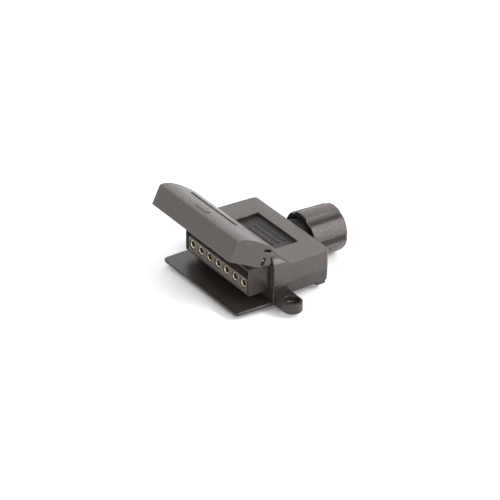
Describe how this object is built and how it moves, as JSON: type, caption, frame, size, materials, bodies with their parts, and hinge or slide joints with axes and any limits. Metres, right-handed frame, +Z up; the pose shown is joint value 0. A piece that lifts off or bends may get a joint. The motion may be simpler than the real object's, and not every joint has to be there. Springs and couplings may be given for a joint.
{
  "type": "trailer wiring socket",
  "caption": "Flat plastic trailer wiring socket with a hinged cap, a shelf under the mouth, side mounting ears and a rear cable gland nut.",
  "frame": {"origin": "on the mounting plane, midway between the ears, in the plane of the flange face", "axes": "+X along the row of contacts, +Y from the mouth towards the cable gland, +Z up away from the mounting plane"},
  "size_m": [0.0992, 0.091, 0.0482],
  "materials": {
    "housing": "fine moulded grain, satin",
    "cover": "fine moulded grain, satin",
    "lid": "fine moulded grain, satin",
    "nut": "coarser moulded grain, satin",
    "insert": "smooth moulded",
    "contacts": "turned",
    "screws": "zinc plated",
    "spring_steel": "drawn wire",
    "soft_rubber": "matte",
    "slip_ring": "smooth moulded"
  },
  "bodies": {
    "housing": {"base_housing": "housing", "top_cover": "cover", "cover_gasket": "soft_rubber", "contact_insert": "insert", "insert_retainer": "insert", "contact_1": "contacts", "contact_2": "contacts", "contact_3": "contacts", "contact_4": "contacts", "contact_5": "contacts", "contact_6": "contacts", "contact_7": "contacts", "terminal_screws": "screws", "insert_screws": "screws", "cover_screws": "screws", "hinge_pin": "spring_steel", "lid_spring": "spring_steel", "gland_seal": "soft_rubber"},
    "lid": {"lid": "lid", "lid_seal": "soft_rubber"},
    "gland_carrier": {"gland_slip_ring": "slip_ring"},
    "gland": {"gland_nut": "nut"}
  },
  "joints": [
    {"name": "lid_hinge", "type": "hinge", "parent": "housing", "child": "lid", "pos_m": [0, -0.004, 0.027], "axis": [-1, 0, 0], "range_deg": [-117, 11], "stiffness_Nm_per_rad": 0.004, "springref_deg": -148.97, "deforming": ["lid_spring"]},
    {"name": "gland_travel", "type": "slide", "parent": "housing", "child": "gland_carrier", "axis": [0, 1, 0], "range_m": [0, 0.01]},
    {"name": "gland_spin", "type": "hinge", "parent": "gland_carrier", "child": "gland", "pos_m": [0, 0.052, 0.0111], "axis": [0, 1, 0], "range_deg": [0, 1800]}
  ],
  "couplings": [
    {"joint": "gland_travel", "follows": "gland_spin", "m_per_rad": 0.00031831}
  ]
}
